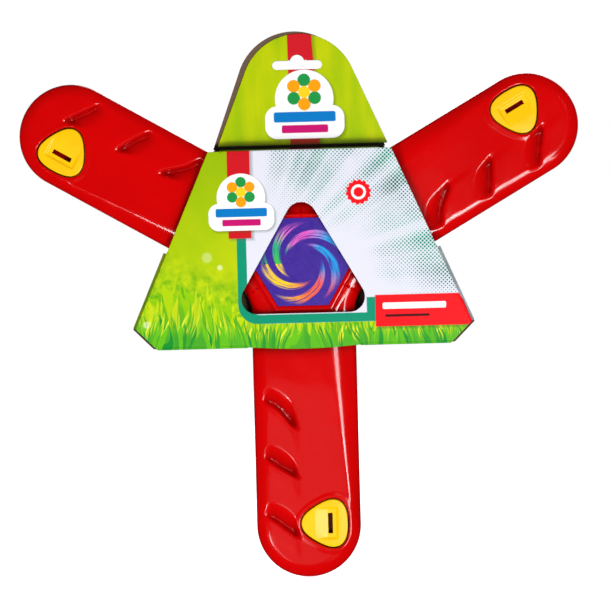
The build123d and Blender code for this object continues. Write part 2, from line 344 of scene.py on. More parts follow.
def gills(a, p):
    """Depth of the finger recesses: a steady slope from the rim, a crisp valley, a proud far lip."""
    total = np.zeros_like(a)
    envelope = smooth((p - GILL_OUTER) / 6.5) * smooth((-4.2 - p) / 5.5)
    for start, tail, depth in zip(GILL_STARTS, GILL_TAILS, GILL_DEPTHS):
        rim, valley = gill_lines(start, tail)
        u = np.interp(p, *rim)
        v = np.interp(p, *valley)
        s = np.clip((a - u) / np.maximum(v - u, 1.0), 0, 1)
        scoop = s * s * (1.9 - 0.9 * s)
        far = np.clip((a - v) / 3.0, 0, 1)
        shape = np.where(a <= v, scoop, (1 - far) ** 2)
        lip = 0.22 * np.exp(-(((a - v - 8.0) / 6.0) ** 2))
        total = total + envelope * (depth * shape - lip)
    return total


def front_height(a, p):
    """Level of the front moulding's surface."""
    d = inset_of(a, p)
    # bevel: wide along the leading edge, narrowing from the hub to the tip, and narrow elsewhere
    near_width, far_width, plain_width = 13.2, 5.1, 5.8
    lead = near_width + (far_width - near_width) * np.clip((a - 50.0) / 103.0, 0, 1)
    weight = smooth(p / 14.0) * smooth((TIP + 6 - a) / 14.0) * smooth((a - 30.0) / 22.0)
    width = plain_width + (lead - plain_width) * weight
    fall = 3.3 + 0.9 * weight
    bevel = TOP - fall * (1 - d / width)
    h = soft_min(np.full_like(d, TOP), bevel, 1.5) - rounding(d, EDGE_ROUND)
    # slight waviness of a moulded sheet
    h = h + (0.16 * wave(a, p, 52.0, 4) + 0.03 * wave(a, p, 17.0, 9)) * smooth(d / 8.0)
    h = h - gills(a, p)
    # pocket lip round the whistle cap
    q = cap_distance(a, p)
    collar = 0.3 * smooth((5.0 - q) / 3.0) * smooth(d / 3.0)
    h = h + collar - rounding(np.maximum(q - POCKET_GAP, 0), POCKET_RIM)
    # raised hexagonal hub
    hexd = hub_distance(a, p)
    plate = HUB_TOP - rounding(np.maximum(HUB_APOTHEM - hexd, 0), 1.0) * 0.9
    foot = smooth((HUB_FOOT - hexd) / (HUB_FOOT - HUB_APOTHEM))
    h = np.where(hexd < HUB_APOTHEM, plate, h + (HUB_TOP - 0.95 - h) * foot)
    return h - LABEL_SINK * smooth((LABEL_SEAT - hexd) / 0.22 + 0.5)


def front_shell(material):
    """The front moulding: one third is triangulated, shaped, skirted and turned twice."""
    ring_steps = (0.0, 0.25, 0.6, 1.1, 1.7, 2.5, 3.4, 4.3, 5.2)
    rings = [outline_ring(k) for k in ring_steps]
    ray = []
    for sign in (-1, 1):
        turn = math.radians(60 * sign)
        far = CROTCH_FAR - CROTCH
        stops = sorted({far - k for k in ring_steps} | set(np.arange(0, far - 6.0, 1.2)))
        ray.append(np.array([(r * math.cos(turn), r * math.sin(turn)) for r in stops]))
    seat_steps = [LABEL_SEAT + k for k in (-0.25, 0.0, 0.25)]
    plate_steps = [HUB_APOTHEM + k for k in (-1.2, -0.8, -0.5, -0.2, 0.0, 0.5, 1.3)]
    hub = [hub_line(x) for x in seat_steps + plate_steps + [HUB_FOOT]]
    valleys = []
    for start, tail in zip(GILL_STARTS, GILL_TAILS):
        across, along = gill_lines(start, tail)[1]
        p = np.linspace(-27.0, -5.4, 30)
        valleys.append(np.stack([np.interp(p, across, along), p], 1))
    pocket = cap_ring(POCKET_GAP) + np.array(CAP_CENTRE)
    lips = [cap_ring(POCKET_GAP + g) + np.array(CAP_CENTRE) for g in (0.2, 0.5, 0.9, 1.6, 2.4)]
    grid = hex_grid((0.5, -HALF), (TIP_REACH, HALF), GRID_PITCH)
    a, p = grid.T
    clear = inset_of(a, p) > 5.7
    clear &= (a * SIN60 - np.abs(p) * COS60) > 0.7
    clear &= cap_distance(a, p) > POCKET_GAP + 2.9
    hexd = hub_distance(a, p)
    clear &= (hexd < 27.2) | (hexd > 34.0)
    for valley in valleys:
        gap = np.hypot(a[:, None] - valley[:, 0], p[:, None] - valley[:, 1]).min(1)
        clear &= gap > 0.7

    def keep(x, y):
        inside = inset_of(x, y) > 0.001
        sector = np.abs(y) * COS60 < x * SIN60 + 1e-4
        return inside & sector & (cap_distance(x, y) > POCKET_GAP - 0.02)

    lines = rings + ray + hub + valleys
    verts, faces, numbers = triangulate([pocket] + lips, lines, grid[clear], keep)
    level = front_height(verts[:, 0], verts[:, 1])
    points = np.stack([verts[:, 0], level, verts[:, 1]], 1)
    edge = numbers[1 + len(lips)]
    foot = PART_LINE + 0.05
    first = level[edge].min()
    rows = [first - 0.5 * (first - foot), foot + 0.5, foot + 0.15, foot, foot]
    points, faces = skirt(points, faces, edge, rows, (0.0, 0.0, 0.06, 0.28, 1.2), False, True)
    down = [TOP - 2.2, TOP - 3.6, TOP - 5.4]
    points, faces = skirt(points, faces, numbers[0], down, (-0.02, -0.02, -0.02), True, False)
    return three_turns("front_moulding", points, faces, material)


def three_turns(name, points, faces, material):
    """Three copies of a one-third surface round the hub's axis, merged at their seams."""
    points = np.asarray(points, float)
    all_points = []
    all_faces = []
    for turn, angle in enumerate(BLADE_ANGLES):
        base = turn * len(points)
        x, z = to_world(points[:, 0], points[:, 2], angle)
        all_points.append(np.stack([x, points[:, 1], z], 1))
        all_faces += [tuple(i + base for i in f) for f in faces]
    obj = make_mesh(name, np.concatenate(all_points), all_faces, [material])
    weld(obj, 0.02)
    return obj


def weld(obj, distance):
    """Merges points closer than a distance and drops loose ones."""
    bm = bmesh.new()
    bm.from_mesh(obj.data)
    bmesh.ops.remove_doubles(bm, verts=bm.verts, dist=distance * MM)
    loose = [v for v in bm.verts if not v.link_faces]
    bmesh.ops.delete(bm, geom=loose, context="VERTS")
    bm.to_mesh(obj.data)
    bm.free()


def thicken(obj, thickness, rim_slot=0, back_slot=0):
    """Gives a sheet its wall thickness; the rim and the back can take other material slots."""
    mod = obj.modifiers.new("wall", "SOLIDIFY")
    mod.thickness = thickness * MM
    mod.offset = -1.0
    mod.use_rim = True
    mod.material_offset = back_slot
    mod.material_offset_rim = rim_slot


# ---- whistle caps ----
def whistle_cap(name, angle, material):
    """Rounded-triangle cap with a ramped trough round a through slot."""
    slot_half = (6.4, 1.4)
    slot_mid = (0.0, 2.1)
    corner = 0.5
    trough_depth = 1.1

    def edge_distance(u, v):
        return cap_distance(u + CAP_CENTRE[0], v + CAP_CENTRE[1])

    def slot_distance(u, v):
        return np.maximum(np.abs(u - slot_mid[0]) - slot_half[0], np.abs(v - slot_mid[1]) - slot_half[1])

    def slot_ring(grow):
        hx = slot_half[0] + grow
        hy = slot_half[1] + grow
        r = corner + max(grow, 0)
        out = []
        for cx, cy, turn in ((1, 1, 0), (-1, 1, 90), (-1, -1, 180), (1, -1, 270)):
            for t in np.radians(np.linspace(turn, turn + 90, 6)):
                out.append((cx * (hx - r) + r * math.cos(t), cy * (hy - r) + r * math.sin(t)))
        return np.array(out) + np.array(slot_mid)

    rims = [cap_ring(g) for g in (-0.02, -0.12, -0.3, -0.6, -1.0, -1.6, -2.4)]
    slot_loop = slot_ring(0.0)
    slot_lips = [slot_ring(g) for g in (0.12, 0.3)]
    grid = hex_grid((-20, -20), (20, 20), 0.55)
    free = grid[(edge_distance(*grid.T) < -2.7) & (slot_distance(*grid.T) > 0.55)]

    def keep(u, v):
        return (edge_distance(u, v) < 0.05) & (slot_distance(u, v) > -0.001)

    verts, faces, numbers = triangulate([rims[0], slot_loop] + slot_lips + rims[1:], [], free, keep)
    x, y = verts.T
    depth = -edge_distance(x, y)
    level = CAP_TOP + 0.25 * smooth(depth / 6.0) - rounding(np.maximum(depth, 0), 0.8)
    across = y - slot_mid[1]
    ramp = np.clip((across + 9.7) / 8.0, 0, 1)
    ramp = ramp * smooth((5.0 - across) / 1.5) * smooth((10.6 - np.abs(x)) / 1.8)
    ramp = ramp * smooth((depth - 0.9) / 1.0)
    level = level - trough_depth * ramp - rounding(np.maximum(slot_distance(x, y), 0), 0.3)
    points = np.stack([x + CAP_CENTRE[0], level, y + CAP_CENTRE[1]], 1)
    points, faces = skirt(points, faces, numbers[0], [CAP_TOP - 1.6, CAP_REAR], (0, 0), True, True)
    slot_rows = [CAP_TOP - 1.5, CAP_TOP - 2.4]
    points, faces = skirt(points, faces, numbers[1], slot_rows, (0, 0), True, False)
    points = np.asarray(points)
    x, z = to_world(points[:, 0], points[:, 2], angle)
    obj = make_mesh(name, np.stack([x, points[:, 1], z], 1), faces, [material])
    thicken(obj, 0.9)
    return obj


# ---- node maths ----
def operator(op, swap=False):
    def apply(self, other):
        return self.art.math(op, other, self) if swap else self.art.math(op, self, other)

    return apply


def named(op):
    return lambda self, *values: self.math(op, *values)


class Value:
    """A float in a shader tree that takes ordinary arithmetic."""

    __add__ = __radd__ = operator("ADD")
    __mul__ = __rmul__ = operator("MULTIPLY")
    __sub__ = operator("SUBTRACT")
    __rsub__ = operator("SUBTRACT", True)
    __truediv__ = operator("DIVIDE")

    def __init__(self, art, socket):
        self.art = art
        self.socket = socket

    def __neg__(self):
        return self * -1.0


class Tree:
    """A shader tree with helpers that build expressions, masks and textures in it."""

    abs = named("ABSOLUTE")
    floor = named("FLOOR")
    sine = named("SINE")
    min = named("MINIMUM")
    max = named("MAXIMUM")
    angle = named("ARCTAN2")

    def __init__(self, tree):
        self.nodes = tree.nodes
        self.links = tree.links
        self.place = None

    def layer(self, paint, ground, x, z, *settings):
        """Runs paint(tree, ground, x, z, *settings) inside a node group of its own."""
        group = bpy.data.node_groups.new(paint.__name__, "ShaderNodeTree")
        for name, kind in (("Ground", "Color"), ("X", "Float"), ("Z", "Float")):
            group.interface.new_socket(name, in_out="INPUT", socket_type="NodeSocket" + kind)
        group.interface.new_socket("Colour", in_out="OUTPUT", socket_type="NodeSocketColor")
        inner = Tree(group)
        entry = inner.nodes.new("NodeGroupInput")
        leave = inner.nodes.new("NodeGroupOutput")
        gx = Value(inner, entry.outputs["X"])
        gz = Value(inner, entry.outputs["Z"])
        inner.place = inner.vector(gx, 0.0, gz)
        inner.plug(paint(inner, entry.outputs["Ground"], gx, gz, *settings), leave.inputs["Colour"])
        return self.node("Group", ground, x, z, node_tree=group).outputs["Colour"]

    def plug(self, value, socket):
        """Links a socket or sets a constant. Three numbers are a screen colour, four a linear one."""
        if isinstance(value, Value):
            value = value.socket
        if hasattr(value, "is_output"):
            self.links.new(value, socket)
        elif isinstance(value, tuple):
            socket.default_value = linear(value) if len(value) == 3 else value
        else:
            socket.default_value = value

    def node(self, kind, *values, **settings):
        """A new node with its settings, and the values plugged into its first inputs."""
        node = self.nodes.new("ShaderNode" + kind)
        for name, setting in settings.items():
            setattr(node, name, setting)
        for value, socket in zip(values, node.inputs):
            self.plug(value, socket)
        return node

    def math(self, op, a, b=0.0, c=0.0):
        return Value(self, self.node("Math", a, b, c, operation=op).outputs[0])

    def length(self, a, b):
        return self.math("SQRT", a * a + b * b)

    def clamp(self, a):
        out = self.math("ADD", a, 0.0)
        out.socket.node.use_clamp = True
        return out

    def step(self, distance, soft=0.18):
        """1 where a signed distance is negative, 0 where it is positive."""
        return self.clamp(0.5 - distance * (0.5 / soft))

    def ramp(self, a, low, high):
        return self.clamp((a - low) / (high - low))

    def box(self, x, z, cx, cz, hx, hz, r=0.0):
        """Signed distance to a rectangle of half sizes hx and hz with rounded corners."""
        dx = self.abs(x - cx) - (hx - r)
        dz = self.abs(z - cz) - (hz - r)
        outside = self.length(self.max(dx, 0.0), self.max(dz, 0.0))
        return outside + self.min(self.max(dx, dz), 0.0) - r

    def disc(self, x, z, cx, cz, r):
        return self.length(x - cx, z - cz) - r

    def vector(self, x, y, z):
        return self.node("CombineXYZ", x, y, z).outputs[0]

    def noise(self, size, detail=3.0, rough=0.5, at=None, seed=0.0):
        """Noise between about 0 and 1 with features of a size in millimetres."""
        node = self.node("TexNoise", noise_dimensions="4D")
        for name, value in (("Scale", 1.0 / size), ("Detail", detail), ("Roughness", rough), ("W", seed)):
            node.inputs[name].default_value = value
        self.links.new(at or self.place, node.inputs["Vector"])
        return Value(self, node.outputs["Fac"])

    def random(self, a):
        """A fixed random number between 0 and 1 for each whole number."""
        node = self.node("TexWhiteNoise", noise_dimensions="1D")
        self.plug(a, node.inputs["W"])
        return Value(self, node.outputs["Value"])

    def mix(self, fac, a, b):
        """Colour a where fac is 0 and b where it is 1."""
        node = self.node("Mix", data_type="RGBA")
        for value, socket in zip((fac, a, b), (node.inputs["Factor"], node.inputs[6], node.inputs[7])):
            self.plug(value, socket)
        return node.outputs[2]

    def paint(self, ground, distance, colour, soft=0.18, strength=1.0):
        """The colour laid over the ground where a signed distance is negative."""
        mask = self.step(distance, soft)
        return self.mix(mask if strength == 1.0 else mask * strength, ground, colour)

    def speckle(self, size, detail, dark, light, seed=0.0):
        """Two tones mixed by noise."""
        return self.mix(self.noise(size, detail, seed=seed), dark, light)

    def flutes(self, along, pitch):
        """The board's flutes showing through, as a wave between 0 and 1."""
        return self.sine(along * (math.tau / pitch)) * 0.5 + 0.5

    def colours(self, fac, stops):
        """A colour ramp from (position, colour) stops."""
        node = self.node("ValToRGB")
        while len(node.color_ramp.elements) < len(stops):
            node.color_ramp.elements.new(0.5)
        for element, (position, colour) in zip(node.color_ramp.elements, stops):
            element.position = position
            element.color = linear(colour)
        self.plug(fac, node.inputs[0])
        return node.outputs[0]


class Art(Tree):
    """A material: a Principled shader whose inputs are built from positions in millimetres."""

    def __init__(self, name):
        self.material = bpy.data.materials.new(name)
        self.material.use_nodes = True
        super().__init__(self.material.node_tree)
        self.shader = self.nodes["Principled BSDF"]
        coords = self.node("TexCoord").outputs["Object"]
        self.place = self.node("VectorMath", coords, operation="SCALE").outputs[0]
        self.place.node.inputs["Scale"].default_value = 1.0 / MM
        self.x, self.y, self.z = (Value(self, s) for s in self.node("SeparateXYZ", self.place).outputs)

    def set(self, **inputs):
        """Shader inputs by name, with _ for a space."""
        for name, value in inputs.items():
            self.plug(value, self.shader.inputs[name.replace("_", " ")])

    def occlusion(self, distance):
        """Openness of a spot: low in a hollow, 1 in the open."""
        node = self.node("AmbientOcclusion", samples=8)
        node.inputs["Distance"].default_value = distance * MM
        return Value(self, node.outputs["AO"])

    def bump(self, height, distance, strength=1.0):
        """Bump from a height between 0 and 1, whose full step is distance millimetres."""
        node = self.node("Bump", strength)
        node.inputs["Distance"].default_value = distance * MM
        self.plug(height, node.inputs["Height"])
        self.set(Normal=node.outputs["Normal"])


def linear(colour):
    """Linear colour and alpha from 0-255 screen values."""
    out = []
    for v in colour:
        v /= 255
        out.append(v / 12.92 if v <= 0.04045 else ((v + 0.055) / 1.055) ** 2.4)
    return (*out, 1.0)


LIME = (176, 202, 4)
LABEL_RED = (246, 12, 24)
FIELD = (226, 226, 238)
WHITE = (250, 250, 252)
FLUTE_PITCH = 3.2


# ---- plain materials ----
def red_plastic():
    """Glossy moulding with faint scuffs; painted shade from ambient occlusion darkens its hollows."""
    art = Art("red_gloss_moulding")
    patches = art.ramp(art.noise(22, 2, seed=13), 0.5, 0.7)
    scuffs = art.ramp(art.noise(0.9, 3, 0.7, seed=12), 0.66, 0.78) * patches
    tone = art.speckle(30, 2, (194, 0, 0), (216, 0, 2))
    tone = art.mix(scuffs * 0.22, tone, (236, 70, 66))
    # painted shade: hollows and crevices mixed towards dark red
    hollow = art.ramp(art.occlusion(9.0), 0.97, 0.62)
    art.set(
        Base_Color=art.mix(hollow * 0.8, tone, (112, 0, 0)),
        Roughness=0.10 + art.noise(7, 4, 0.6) * 0.07 + scuffs * 0.2,
        Specular_IOR_Level=0.32, Coat_Weight=0.22, Coat_Roughness=0.04,
    )
    grain = art.noise(0.6, 3, 0.6) * 0.4 + art.noise(9, 2, 0.5, seed=3) * 1.6
    art.bump(grain, 0.06, 0.35)
    return art.material


def yellow_plastic():
    art = Art("yellow_cap_plastic")
    art.set(
        Base_Color=art.speckle(12, 2, (252, 190, 0), (255, 206, 0)),
        Roughness=0.24 + art.noise(3, 4) * 0.12,
        Specular_IOR_Level=0.3,
    )
    art.bump(art.noise(0.5, 3, 0.6), 0.02, 0.4)
    return art.material


def kraft(name="kraft_board", dark=0.0):
    """Bare brown board with fibres and faint flute lines. dark lowers its colour as painted shade; painted
    shade also darkens its inner faces and the board beside the header's slit.
    """
    art = Art(name)
    stretched = art.vector(art.x * 0.25, art.y, art.z)
    fibres = art.noise(0.8, 5, 0.7, at=stretched)
    specks = art.ramp(art.noise(0.5, 2, 0.5, seed=8), 0.62, 0.72)
    flute = art.flutes(art.z, FLUTE_PITCH)
    # dark takes the same amount off both tones, as painted shade for board that sits in shade
    tone = art.mix(fibres, (128 - dark, 100 - dark, 78 - dark), (178 - dark, 148 - dark, 120 - dark))
    tone = art.mix(specks * 0.5, tone, (92, 70, 54))
    # painted shade: darker on the faces near level 1.3 mm, the boards' inner faces
    tone = art.paint(tone, art.abs(art.y + 1.3) - 0.5, (52, 38, 30), 0.2, 0.62)
    # painted shade in the slit under the header, near black
    slit = art.step(art.abs(art.z - 74.6) - 2.6, 1.0) * art.step(art.max(-(art.y + 3.1), art.y + 0.4), 0.2)
    art.set(Base_Color=art.mix(slit * 0.94, tone, (14, 11, 8)), Roughness=0.9)
    art.bump(fibres * 0.7 + flute * 0.3, 0.08, 0.5)
    return art.material


def board_edge():
    """Cut edge of the board: pale liners with a fluted dark core, and painted shade near black at the
    header's slit.
    """
    art = Art("board_cut_edge")
    flute = art.flutes(art.x + art.z, 2.4)
    fibres = art.noise(0.4, 4, 0.7)
    tone = art.mix(flute * 0.5 + fibres * 0.5, (104, 82, 72), (176, 154, 138))
    # painted shade: the header's cut edge darkened where it meets the slit
    slit = art.step(art.abs(art.z - 75.0) - 1.2, 0.4) * art.step(-(art.y + 4.0), 0.2)
    art.set(Base_Color=art.mix(slit * 0.95, tone, (12, 10, 8)), Roughness=0.95)
    art.bump(fibres, 0.1, 0.6)
    return art.material


# ---- printed artwork ----
def grass_layer(art, ground, x, z, cell, height, top, seed, dark, light):
    """One row of grass blades: tapering leaning strokes with random heights."""
    across = art.vector(x, 0.0, z * 0.25)
    slant = (art.noise(15, 1, at=across, seed=30 + seed) - 0.5) * (z + 34.0) * 1.9
    u = (x + slant) * (1.0 / cell) + seed * 0.37
    total = ground
    for k in range(2):
        shifted = u + 0.5 * k
        index = art.floor(shifted)
        r1 = art.random(index + seed * 17.3 + 101.0 * k)
        r2 = art.random(index + seed * 31.7 + 57.0 + 13.0 * k)
        tall = top + height * (r1 - 0.45)
        rise = (z - (top - height)) * (1.0 / height)
        lean = (r2 - 0.5) * 3.4
        local = shifted - index - 0.5 - lean * rise * rise * 0.55
        width = (tall - z) * (0.24 / height) + 0.02
        blade = art.abs(local) - width
        shape = art.step(blade * cell, 0.16) * art.step(z - tall, 0.3)
        tone = art.mix(r2 * 0.7 + art.ramp(z, top - height, top + height) * 0.3, dark, light)
        total = art.mix(shape, total, tone)
    return total


def grass_field(art, ground, x, z):
    """Sunny lawn: soft lime haze above, then rows of blades, darker towards the foot."""
    haze = art.noise(26, 2, 0.4, seed=2)
    sky = art.mix(haze, (140, 190, 0), (214, 216, 4))
    sky = art.mix(art.ramp(z, 6.0, 60.0) * 0.6, sky, (128, 172, 0))
    deep = art.mix(art.ramp(art.noise(6, 3, 0.5, seed=5), 0.3, 0.7), (16, 160, 10), (206, 226, 12))
    line = -2.0 - art.ramp(x, -80.0, -10.0) * 24.0
    ground = art.mix(art.ramp(line - z, -12.0, 12.0), sky, deep)
    rows = (
        (9.5, 26.0, 8.0, 1, (120, 194, 0), (220, 226, 8)),
        (7.4, 22.0, 1.0, 2, (50, 178, 0), (212, 226, 4)),
        (5.8, 18.0, -5.0, 3, (4, 160, 24), (238, 238, 24)),
        (4.8, 16.0, -10.0, 4, (0, 138, 30), (150, 218, 0)),
        (4.4, 13.0, -14.0, 5, (30, 180, 6), (250, 244, 60)),
        (3.6, 10.0, -18.0, 6, (0, 140, 46), (120, 208, 0)),
    )
    sink = art.ramp(x, -75.0, -25.0) * 18.0
    for cell, height, top, seed, dark, light in rows:
        ground = art.layer(grass_layer, ground, x, z + sink * (1.0 - seed / 8.0), cell, height, top - 18.0,
                           seed, dark, light)
    return ground


def pictogram(art, ground, x, z, size):
    """A plain white plaque with a six-petal rosette and two colour bars."""
    x = x * (1.0 / size)
    z = z * (1.0 / size)
    plaque = art.min(art.disc(x, z, 0, 3, 17.0), art.box(x, z, 0, -10.5, 23, 9.5, 7.0))
    shadow = art.min(art.disc(x, z, 0.9, 2.0, 17.0), art.box(x, z, 0.9, -11.5, 23, 9.5, 7.0))
    ground = art.paint(ground, shadow, (24, 60, 10), 1.4, 0.6)
    ground = art.paint(ground, plaque, WHITE)
    ring, middle = 7.0, 7.0
    for k in range(6):
        turn = math.radians(30 + 60 * k)
        petal = art.disc(x, z, ring * math.cos(turn), middle + ring * math.sin(turn), 3.7)
        ground = art.paint(ground, petal, ((250, 160, 10), (30, 150, 70))[k % 2])
    ground = art.paint(ground, art.disc(x, z, 0, middle, 3.5), (250, 210, 30))
    ground = art.paint(ground, art.box(x, z, 0, -7.4, 18.0, 3.0, 1.2), (0, 120, 196))
    return art.paint(ground, art.box(x, z, 0, -14.4, 13.5, 2.3, 1.0), (200, 14, 110))


def halftone(art, ground, x, z):
    """Pale field with staggered dots that grow where the tint is denser."""
    cloud = art.noise(24, 2, 0.5, seed=1)
    upper = art.ramp(z, 14.0, 62.0) * art.ramp(x, -30.0, 2.0)
    right = art.ramp(x - (70.6 - z) * 0.433, 6.0, 50.0)
    turn = art.angle(z + 12.0, x + 34.0)
    rays = art.ramp(art.noise(1.0, 2, 0.5, at=art.vector(turn * 8.0, 0.0, 0.0), seed=14), 0.38, 0.6)
    density = art.clamp((cloud - 0.1) * 2.2) * art.max(upper, right) * (rays * 0.75 + 0.25)
    ground = art.mix(density * 0.30, FIELD, (190, 232, 226))
    pitch = 2.5
    tone = art.mix(art.ramp(art.noise(30, 1, seed=9), 0.35, 0.65), (20, 96, 84), (0, 140, 110))
    for shift in (0.0, 0.5):
        u = x * (1.0 / pitch) + shift
        v = z * (1.0 / pitch) + shift
        dot = art.length((u - art.floor(u) - 0.5) * pitch, (v - art.floor(v) - 0.5) * pitch)
        dot = dot - 0.24 - density * 0.50
        ground = art.mix(art.step(dot, 0.14) * art.ramp(density, 0.02, 0.3), ground, tone)
    return ground


def lens_spots(art, ground, x, z):
    for cx, cz, r, strength in ((-99, -37.5, 2.2, 0.5), (-52, -2.5, 1.6, 0.6), (-60, 4, 3.2, 0.25)):
        ground = art.paint(ground, art.disc(x, z, cx, cz, r), (240, 250, 190), 0.5, strength)
    return ground


def teal_frame(art, ground, x, z):
    """Band down the left of the window and along its foot, thicker beside the red box."""
    outer = art.box(x, z, 22.0, 12.0, 63.0, 50.6, 12.0)
    inner = art.box(x, z, 22.0, 16.0, 57.0, 49.0, 8.0)
    band = art.max(art.max(outer, -inner), art.max(z - 17.0, x - 47.0))
    band = art.min(band, art.max(art.box(x, z, 50.0, -31.0, 10.0, 7.6), outer))
    return art.paint(ground, band, art.speckle(5, 2, (0, 152, 116), (16, 140, 108), 4))


def red_ribbon(art, ground, x, z):
    ribbon = art.max(art.abs(x + 38.8) - 7.2, 15.6 - z)
    shadow = art.max(art.abs(x + 37.4) - 7.5, 14.4 - z)
    ground = art.paint(ground, shadow, (90, 80, 76), 1.0, 0.5)
    return art.paint(ground, ribbon, art.speckle(0.8, 2, (190, 12, 26), (222, 26, 38)))


def round_seal(art, ground, x, z):
    """Scalloped red seal with a plain ring."""
    turn = art.angle(z, x)
    radius = art.length(x, z)
    seal = radius - 7.6 - art.sine(turn * 14.0) * 0.5
    ground = art.paint(ground, seal, LABEL_RED)
    return art.paint(ground, art.abs(radius - 3.9) - 0.8, WHITE)


def red_box(art, ground, x, z):
    """Red corner box with two plain bars."""
    ground = art.paint(ground, art.box(x, z, 78.5, -33.0, 33.0, 10.4), (40, 80, 40), 0.9, 0.5)
    ground = art.paint(ground, art.box(x, z, 78.0, -32.2, 32.6, 10.0), LABEL_RED)
    ground = art.paint(ground, art.box(x, z, 70.0, -29.2, 20.0, 2.0, 1.0), WHITE)
    return art.paint(ground, art.box(x, z, 65.5, -35.4, 14.0, 0.8, 0.6), (70, 6, 12))


def panel_colour(art, x, z):
    """The front panel's print."""
    lawn = art.layer(grass_field, LIME, x, z)
    colour = art.layer(lens_spots, lawn, x, z)
    field = art.box(x, z, 164.4, 60.0, 200.0, 98.6, 11.0)
    colour = art.paint(colour, field, art.layer(halftone, FIELD, x, z))
    colour = art.layer(teal_frame, colour, x, z)
    colour = art.layer(red_ribbon, colour, x, z)
    colour = art.layer(pictogram, colour, x + 37.6, z - 38.5, 0.9)
    colour = art.layer(round_seal, colour, x - 36.6, z - 43.0)
    return art.layer(red_box, colour, x, z)


def header_ground(art, ground, x, z):
    """Lime with faint streaks and a ribbon with a soft shadow."""
    streaks = art.noise(9, 3, 0.5, at=art.vector(x, 0.0, z * 0.16), seed=6)
    cloud = art.noise(30, 2, 0.5, seed=7)
    ground = art.mix(art.ramp(streaks * 0.7 + cloud * 0.3, 0.36, 0.64), (158, 192, 0), (194, 206, 0))
    middle = 1.9 + (139.0 - z) * 0.031
    half = 7.9 + (139.0 - z) * 0.024
    ground = art.paint(ground, art.abs(x - middle - 1.6) - half, (30, 84, 4), 1.6, 0.5)
    ribbon = art.speckle(0.8, 2, (190, 12, 26), (224, 34, 46))
    return art.paint(ground, art.abs(x - middle) - half, ribbon)


def shaded_top_wall_colour(art, x, z):
    """Print darkened to olive as painted shade in the fold, with the ribbon running through it, darker
    still towards the slit.
    """
    # painted shade: the lime print and the ribbon given in darker tones, as seen in the fold
    colour = art.speckle(12, 3, (92, 132, 22), (126, 160, 30), 3)
    colour = art.paint(colour, art.abs(x - 4.0) - 10.0, (140, 30, 30))
    # painted shade deepening towards the slit
    return art.mix(art.ramp(z, 71.4, 73.2) * 0.8, colour, (14, 20, 4))


def header_colour(art, x, z):
    """The header's print, with painted shade darkening it towards its foot at the crease."""
    colour = art.layer(header_ground, LIME, x, z)
    colour = art.layer(pictogram, colour, x - 4.0, z - 101.0, 1.1)
    # painted shade: darker towards the header's foot, where it folds into the slit
    return art.mix(art.ramp(z, 79.0, 75.0) * 0.85, colour, (20, 50, 0))


def printed(name, colour, unfold=(0.0, 0.0)):
    """Varnished print. unfold carries the artwork back along a side wall."""
    art = Art(name)
    depth = PANEL_FRONT + art.y
    x = art.x + depth * unfold[0]
    z = art.z + depth * unfold[1]
    roughness = 0.32 + art.noise(4, 4, 0.6) * 0.18
    art.set(Base_Color=colour(art, x, z), Roughness=roughness, Specular_IOR_Level=0.12)
    flute = art.flutes(art.z, FLUTE_PITCH)
    art.bump(art.noise(5, 4, 0.55) * 0.7 + flute * 0.12 + art.noise(0.4, 2) * 0.2, 0.09, 0.35)
    return art.material


def label_print():
    """Indigo sticker with a spiral of bright brush strokes."""
    art = Art("hub_sticker_print")
    x = art.x
    z = art.z + 1.0
    r = art.length(x, z)
    turn = art.angle(z, x)
    swirl = turn * (1.0 / math.tau) + art.math("LOGARITHM", r + 2.0, math.e) * 0.42
    bands = swirl * 5.0
    phase = bands - art.floor(bands)
    bristle = art.noise(1.1, 3, 0.6, at=art.vector(swirl * 60.0, r * 0.16, 0.0))
    hue = turn * (1.0 / math.tau) + 0.5
    hue = hue - art.floor(hue)
    hues = (
        (0.0, (255, 214, 20)), (0.14, (255, 208, 0)), (0.27, (250, 110, 30)),
        (0.36, (250, 90, 70)), (0.46, (0, 150, 230)), (0.62, (20, 170, 235)),
        (0.72, (236, 90, 200)), (0.82, (240, 110, 205)), (0.90, (30, 190, 120)),
        (1.0, (60, 200, 60)),
    )
    ground = art.speckle(7, 3, (70, 32, 160), (46, 24, 138))
    taper = art.ramp(r, 9.5, 13.0) * art.ramp(r, 26.5, 21.0)
    mask = art.ramp(art.abs(phase - 0.42), 0.30, 0.20) * taper * art.ramp(r, 11.5, 15.0)
    mask = art.clamp(mask * 1.5) * art.ramp(bristle, 0.40, 0.50)
    art.set(
        Base_Color=art.mix(mask, ground, art.colours(hue, hues)),
        Roughness=0.22 + art.noise(3, 3) * 0.12, Coat_Weight=0.3,
    )
    art.bump(art.noise(6, 2), 0.05, 0.3)
    return art.material


# ---- card boards ----
def stands_for(piece, node, body):
    """The piece takes a CAD node's place on its body."""
    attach(piece, body)
    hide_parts(node)


def sheet_board(name, node, body, front_material, outline, holes, level=None, pitch=3.0):
    """A board in a CAD node's place, with a rounded front edge; level(x, z) can bow its front."""
    edge_steps = (0.15, 0.45, 1.2)
    rings = [outline] + [inset_polygon(outline, k) for k in edge_steps]
    rings += [inset_polygon(hole, -k) for hole in holes for k in (0.0, *edge_steps)]
    grid = hex_grid(outline.min(0), outline.max(0), pitch)

    def distance(x, y):
        d = polygon_distance(outline, x, y)
        for hole in holes:
            d = np.minimum(d, -polygon_distance(hole, x, y))
        return d

    free = grid[distance(*grid.T) > 2.0]
    verts, faces, _ = triangulate(rings, [], free, lambda x, y: distance(x, y) > 1e-4)
    x, z = verts.T
    front = level(x, z) if level else levels(node)[1]
    points = np.stack([x, front - rounding(np.maximum(distance(x, z), 0), 0.4) * 0.8, z], 1)
    obj = make_mesh(name, points, faces, [front_material, edge, board_brown])
    thicken(obj, BOARD - 0.02, 1, 2)
    stands_for(obj, node, body)


